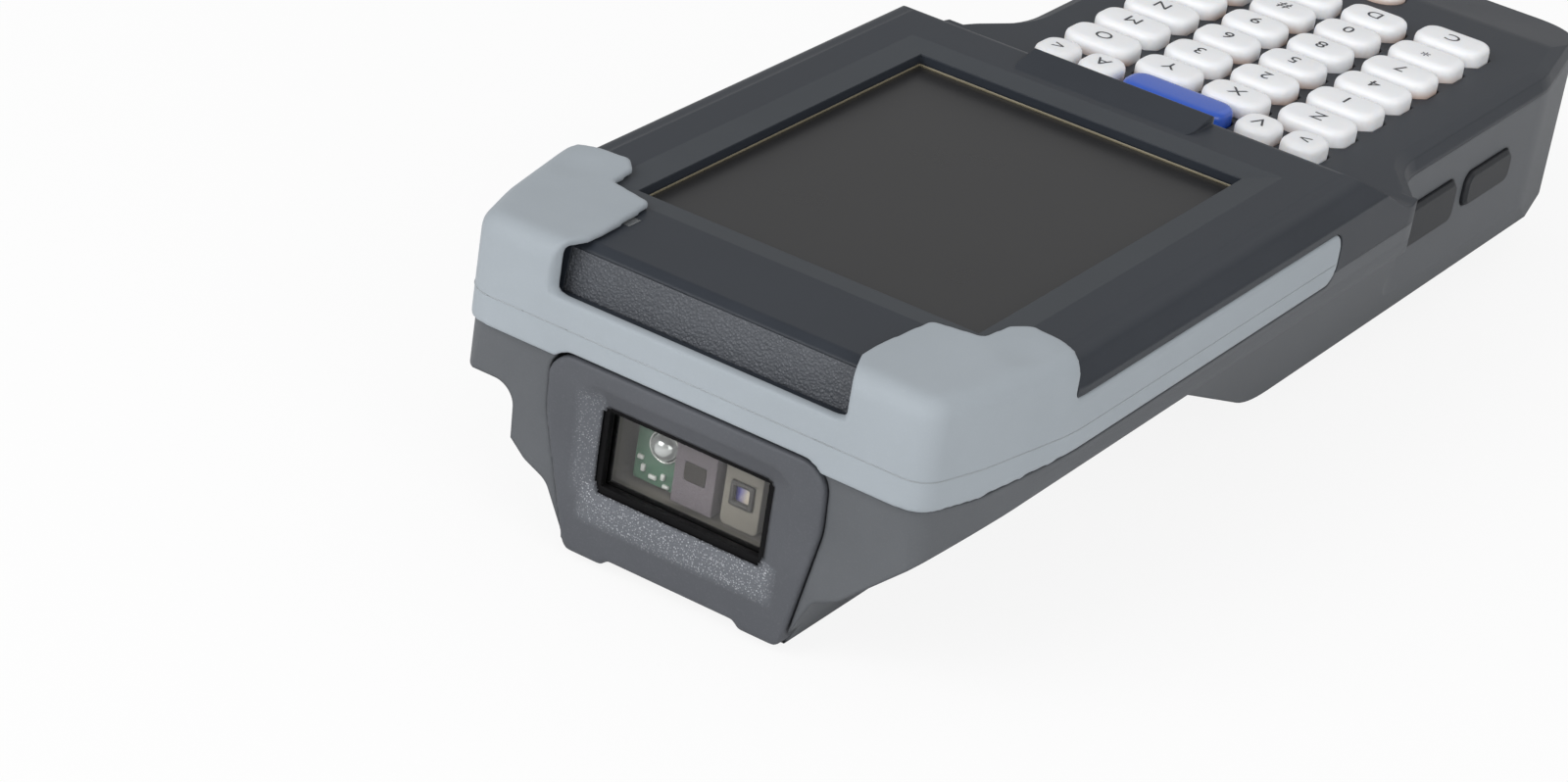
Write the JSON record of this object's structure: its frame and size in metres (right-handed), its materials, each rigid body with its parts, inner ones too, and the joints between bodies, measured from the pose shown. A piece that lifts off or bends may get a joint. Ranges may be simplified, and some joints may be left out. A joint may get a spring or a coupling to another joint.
{
  "type": "portable barcode data terminal",
  "caption": "Handheld data terminal with a leaning scan window, rubber corner bumper, sunk touch display, white keypad, side scan buttons and a back battery pack.",
  "frame": {"origin": "under the middle of the body, on the surface it lies on", "axes": "+X towards the user's left with the screen facing them, +Y from the scan window to the dock end, +Z out of the display"},
  "size_m": [0.0826, 0.2158, 0.0449],
  "materials": {
    "cover": "satin moulded",
    "case": "fine matt moulded",
    "bumper": "soft matt overmould",
    "texture": "coarse sparkle texture",
    "bezel": "matt with coarse sloped faces",
    "gasket": "black",
    "window": "clear coated",
    "optics": "taupe moulded",
    "lamp": "bright reflector",
    "aimer": "grainy grey",
    "camera": "grey",
    "lens": "coated lens",
    "pipe": "clear acrylic",
    "board": "solder mask",
    "seal": "golden adhesive foam",
    "screen": "touch film over glass",
    "panel": "display can",
    "status": "smoked lens",
    "mat": "silicone",
    "key": "translucent white",
    "scankey": "glossy blue",
    "button": "soft black",
    "battery": "matt moulded",
    "steel": "zinc plated",
    "connector": "glass-filled black",
    "speaker": "paper and plastic"
  },
  "bodies": {
    "housing": {"top_cover": "cover", "bottom_case": "case", "bumper": "bumper", "front_panel": "texture", "scan_bezel": "bezel", "window_gasket": "gasket", "scan_window": "window", "imager_chassis": "optics", "imager_board": "board", "imager_lamp": "lamp", "imager_aimer": "aimer", "imager_camera": "camera", "imager_lens": "lens", "light_pipes": "pipe", "display_seal": "seal", "touch_screen": "screen", "display_panel": "panel", "status_lens": "status", "main_board": "board", "keypad_mat": "mat", "keypad_board": "board", "speaker": "speaker", "dock_connector": "connector", "case_screws": "steel"},
    "battery": {"battery_pack": "battery"},
    "battery_latch_slide": {"battery_latch": "button"},
    "scan_left": {"scan_button_left": "button"},
    "scan_right": {"scan_button_right": "button"},
    "volume": {"volume_rocker": "button"},
    "key_nav_outer_left": {"key_nav_outer_left": "key"},
    "key_nav_inner_left": {"key_nav_inner_left": "key"},
    "key_nav_inner_right": {"key_nav_inner_right": "key"},
    "key_nav_outer_right": {"key_nav_outer_right": "key"},
    "key_scan": {"key_scan": "scankey"},
    "key_a1": {"key_a1": "key"},
    "key_b1": {"key_b1": "key"},
    "key_c1": {"key_c1": "key"},
    "key_d1": {"key_d1": "key"},
    "key_a2": {"key_a2": "key"},
    "key_b2": {"key_b2": "key"},
    "key_c2": {"key_c2": "key"},
    "key_d2": {"key_d2": "key"},
    "key_a3": {"key_a3": "key"},
    "key_b3": {"key_b3": "key"},
    "key_c3": {"key_c3": "key"},
    "key_d3": {"key_d3": "key"},
    "key_a4": {"key_a4": "key"},
    "key_b4": {"key_b4": "key"},
    "key_c4": {"key_c4": "key"},
    "key_d4": {"key_d4": "key"},
    "key_a5": {"key_a5": "key"},
    "key_b5": {"key_b5": "key"},
    "key_c5": {"key_c5": "key"},
    "key_d5": {"key_d5": "key"},
    "key_a6": {"key_a6": "key"},
    "key_b6": {"key_b6": "key"},
    "key_c6": {"key_c6": "key"},
    "key_d6": {"key_d6": "key"},
    "key_power": {"key_power": "key"}
  },
  "joints": [
    {"name": "battery_release", "type": "slide", "parent": "housing", "child": "battery", "axis": [0, 0, -1], "range_m": [0, 0.022]},
    {"name": "battery_latch_travel", "type": "slide", "parent": "battery", "child": "battery_latch_slide", "axis": [0, 1, 0], "range_m": [0, 0.002], "stiffness_N_per_m": 200},
    {"name": "scan_left_press", "type": "slide", "parent": "housing", "child": "scan_left", "axis": [-1, 0, 0], "range_m": [0, 0.0007], "stiffness_N_per_m": 400},
    {"name": "scan_right_press", "type": "slide", "parent": "housing", "child": "scan_right", "axis": [1, 0, 0], "range_m": [0, 0.0007], "stiffness_N_per_m": 400},
    {"name": "volume_rock", "type": "hinge", "parent": "housing", "child": "volume", "pos_m": [0.0326, 0.063, 0.023], "axis": [0, 0, 1], "range_deg": [-4, 4], "stiffness_Nm_per_rad": 0.05},
    {"name": "key_nav_outer_left_press", "type": "slide", "parent": "housing", "child": "key_nav_outer_left", "axis": [0, 0, -1], "range_m": [0, 0.0007], "stiffness_N_per_m": 250},
    {"name": "key_nav_inner_left_press", "type": "slide", "parent": "housing", "child": "key_nav_inner_left", "axis": [0, 0, -1], "range_m": [0, 0.0007], "stiffness_N_per_m": 250},
    {"name": "key_nav_inner_right_press", "type": "slide", "parent": "housing", "child": "key_nav_inner_right", "axis": [0, 0, -1], "range_m": [0, 0.0007], "stiffness_N_per_m": 250},
    {"name": "key_nav_outer_right_press", "type": "slide", "parent": "housing", "child": "key_nav_outer_right", "axis": [0, 0, -1], "range_m": [0, 0.0007], "stiffness_N_per_m": 250},
    {"name": "key_scan_press", "type": "slide", "parent": "housing", "child": "key_scan", "axis": [0, 0, -1], "range_m": [0, 0.0007], "stiffness_N_per_m": 250},
    {"name": "key_a1_press", "type": "slide", "parent": "housing", "child": "key_a1", "axis": [0, 0, -1], "range_m": [0, 0.0007], "stiffness_N_per_m": 250},
    {"name": "key_b1_press", "type": "slide", "parent": "housing", "child": "key_b1", "axis": [0, 0, -1], "range_m": [0, 0.0007], "stiffness_N_per_m": 250},
    {"name": "key_c1_press", "type": "slide", "parent": "housing", "child": "key_c1", "axis": [0, 0, -1], "range_m": [0, 0.0007], "stiffness_N_per_m": 250},
    {"name": "key_d1_press", "type": "slide", "parent": "housing", "child": "key_d1", "axis": [0, 0, -1], "range_m": [0, 0.0007], "stiffness_N_per_m": 250},
    {"name": "key_a2_press", "type": "slide", "parent": "housing", "child": "key_a2", "axis": [0, 0, -1], "range_m": [0, 0.0007], "stiffness_N_per_m": 250},
    {"name": "key_b2_press", "type": "slide", "parent": "housing", "child": "key_b2", "axis": [0, 0, -1], "range_m": [0, 0.0007], "stiffness_N_per_m": 250},
    {"name": "key_c2_press", "type": "slide", "parent": "housing", "child": "key_c2", "axis": [0, 0, -1], "range_m": [0, 0.0007], "stiffness_N_per_m": 250},
    {"name": "key_d2_press", "type": "slide", "parent": "housing", "child": "key_d2", "axis": [0, 0, -1], "range_m": [0, 0.0007], "stiffness_N_per_m": 250},
    {"name": "key_a3_press", "type": "slide", "parent": "housing", "child": "key_a3", "axis": [0, 0, -1], "range_m": [0, 0.0007], "stiffness_N_per_m": 250},
    {"name": "key_b3_press", "type": "slide", "parent": "housing", "child": "key_b3", "axis": [0, 0, -1], "range_m": [0, 0.0007], "stiffness_N_per_m": 250},
    {"name": "key_c3_press", "type": "slide", "parent": "housing", "child": "key_c3", "axis": [0, 0, -1], "range_m": [0, 0.0007], "stiffness_N_per_m": 250},
    {"name": "key_d3_press", "type": "slide", "parent": "housing", "child": "key_d3", "axis": [0, 0, -1], "range_m": [0, 0.0007], "stiffness_N_per_m": 250},
    {"name": "key_a4_press", "type": "slide", "parent": "housing", "child": "key_a4", "axis": [0, 0, -1], "range_m": [0, 0.0007], "stiffness_N_per_m": 250},
    {"name": "key_b4_press", "type": "slide", "parent": "housing", "child": "key_b4", "axis": [0, 0, -1], "range_m": [0, 0.0007], "stiffness_N_per_m": 250},
    {"name": "key_c4_press", "type": "slide", "parent": "housing", "child": "key_c4", "axis": [0, 0, -1], "range_m": [0, 0.0007], "stiffness_N_per_m": 250},
    {"name": "key_d4_press", "type": "slide", "parent": "housing", "child": "key_d4", "axis": [0, 0, -1], "range_m": [0, 0.0007], "stiffness_N_per_m": 250},
    {"name": "key_a5_press", "type": "slide", "parent": "housing", "child": "key_a5", "axis": [0, 0, -1], "range_m": [0, 0.0007], "stiffness_N_per_m": 250},
    {"name": "key_b5_press", "type": "slide", "parent": "housing", "child": "key_b5", "axis": [0, 0, -1], "range_m": [0, 0.0007], "stiffness_N_per_m": 250},
    {"name": "key_c5_press", "type": "slide", "parent": "housing", "child": "key_c5", "axis": [0, 0, -1], "range_m": [0, 0.0007], "stiffness_N_per_m": 250},
    {"name": "key_d5_press", "type": "slide", "parent": "housing", "child": "key_d5", "axis": [0, 0, -1], "range_m": [0, 0.0007], "stiffness_N_per_m": 250},
    {"name": "key_a6_press", "type": "slide", "parent": "housing", "child": "key_a6", "axis": [0, 0, -1], "range_m": [0, 0.0007], "stiffness_N_per_m": 250},
    {"name": "key_b6_press", "type": "slide", "parent": "housing", "child": "key_b6", "axis": [0, 0, -1], "range_m": [0, 0.0007], "stiffness_N_per_m": 250},
    {"name": "key_c6_press", "type": "slide", "parent": "housing", "child": "key_c6", "axis": [0, 0, -1], "range_m": [0, 0.0007], "stiffness_N_per_m": 250},
    {"name": "key_d6_press", "type": "slide", "parent": "housing", "child": "key_d6", "axis": [0, 0, -1], "range_m": [0, 0.0007], "stiffness_N_per_m": 250},
    {"name": "key_power_press", "type": "slide", "parent": "housing", "child": "key_power", "axis": [0, 0, -1], "range_m": [0, 0.0007], "stiffness_N_per_m": 250}
  ]
}
